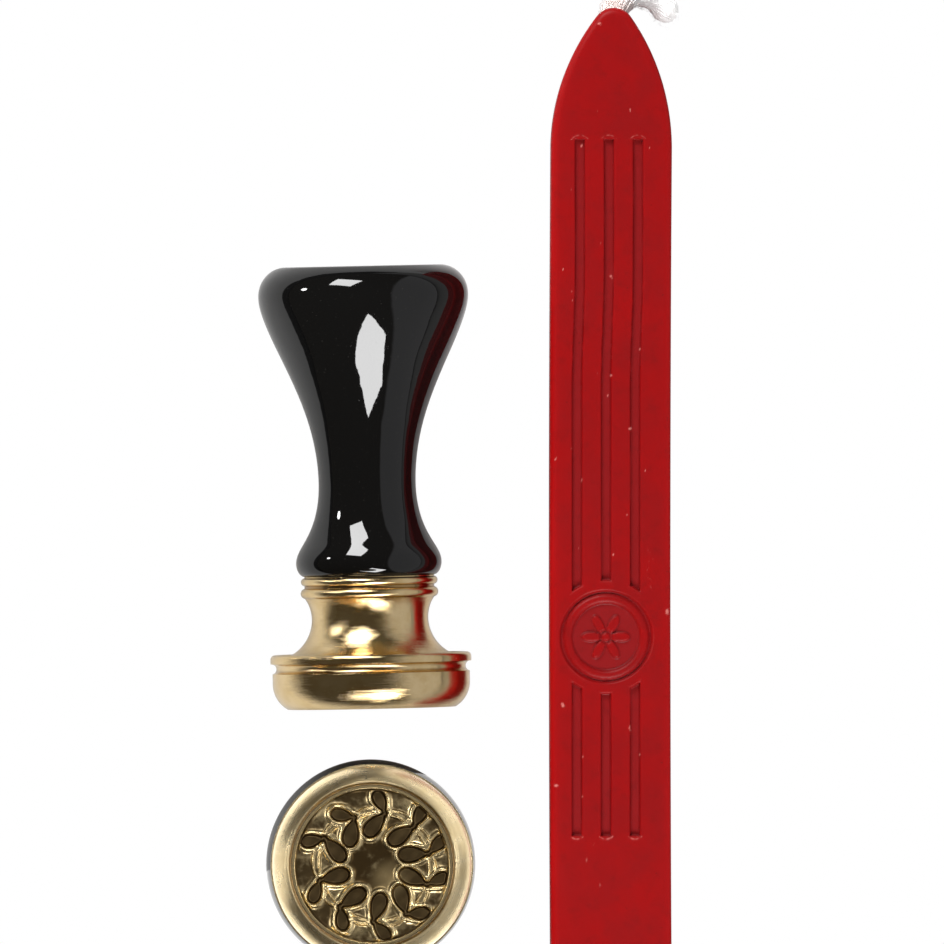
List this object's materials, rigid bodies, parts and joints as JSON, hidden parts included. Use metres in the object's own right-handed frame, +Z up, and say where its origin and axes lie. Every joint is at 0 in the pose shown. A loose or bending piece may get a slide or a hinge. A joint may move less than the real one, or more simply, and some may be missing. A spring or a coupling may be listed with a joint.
{
  "type": "wax seal set",
  "caption": "Seal stamps with a black turned handle and a screw-on brass head with a leaf wreath die, and a red wax stick with a wick.",
  "frame": {"origin": "on the table, under the middle of the whole set's box", "axes": "+Z up from the table; +Y along the wax stick towards its wick, which is the top of the picture; +X to the right of the picture, from the stamps to the stick"},
  "size_m": [0.042, 0.103, 0.044],
  "materials": {
    "lacquer": "black high-gloss lacquer on turned hardwood",
    "brass": "turned and polished brass, clear, pale gold",
    "brass_die": "cast brass with darkened recesses and bright ridges",
    "brass_inner": "plain machined brass",
    "steel": "bright zinc-plated steel thread",
    "wax": "satin moulded red sealing wax",
    "cotton": "white spun cotton wick"
  },
  "bodies": {
    "wax_stick": {"wax_body": "wax", "wick": "cotton"},
    "lying_stamp_handle": {"lying_handle": "lacquer", "lying_insert": "brass_inner"},
    "lying_stamp_collar": {"lying_collar": "brass"},
    "lying_stamp_head": {"lying_head": "brass", "lying_die": "brass_die", "lying_stud": "steel"},
    "standing_stamp_handle": {"standing_handle": "lacquer", "standing_insert": "brass_inner"},
    "standing_stamp_collar": {"standing_collar": "brass"},
    "standing_stamp_head": {"standing_head": "brass", "standing_die": "brass_die", "standing_stud": "steel"}
  },
  "joints": [
    {"name": "lying_stamp_lift", "type": "slide", "parent": "wax_stick", "child": "lying_stamp_handle", "axis": [0, 0, 1], "range_m": [0, 0.06]},
    {"name": "lying_collar_travel", "type": "slide", "parent": "lying_stamp_handle", "child": "lying_stamp_collar", "axis": [0.0213, -0.9997, -0.0123], "range_m": [0, 0.0035]},
    {"name": "lying_head_unscrew", "type": "hinge", "parent": "lying_stamp_collar", "child": "lying_stamp_head", "pos_m": [-0.00973, -0.01656, 0.01], "axis": [0.0213, -0.9997, -0.0123], "range_deg": [0, 1800.1]},
    {"name": "standing_stamp_lift", "type": "slide", "parent": "wax_stick", "child": "standing_stamp_handle", "axis": [0, 0, 1], "range_m": [0, 0.06]},
    {"name": "standing_collar_travel", "type": "slide", "parent": "standing_stamp_handle", "child": "standing_stamp_collar", "axis": [0, 0, 1], "range_m": [0, 0.0035]},
    {"name": "standing_head_unscrew", "type": "hinge", "parent": "standing_stamp_collar", "child": "standing_stamp_head", "pos_m": [-0.0097, -0.03677, 0.03935], "axis": [0, 0, 1], "range_deg": [0, 1800.1]}
  ],
  "couplings": [
    {"joint": "lying_head_unscrew", "follows": "lying_collar_travel", "rad_per_m": 8976},
    {"joint": "standing_head_unscrew", "follows": "standing_collar_travel", "rad_per_m": 8976}
  ]
}
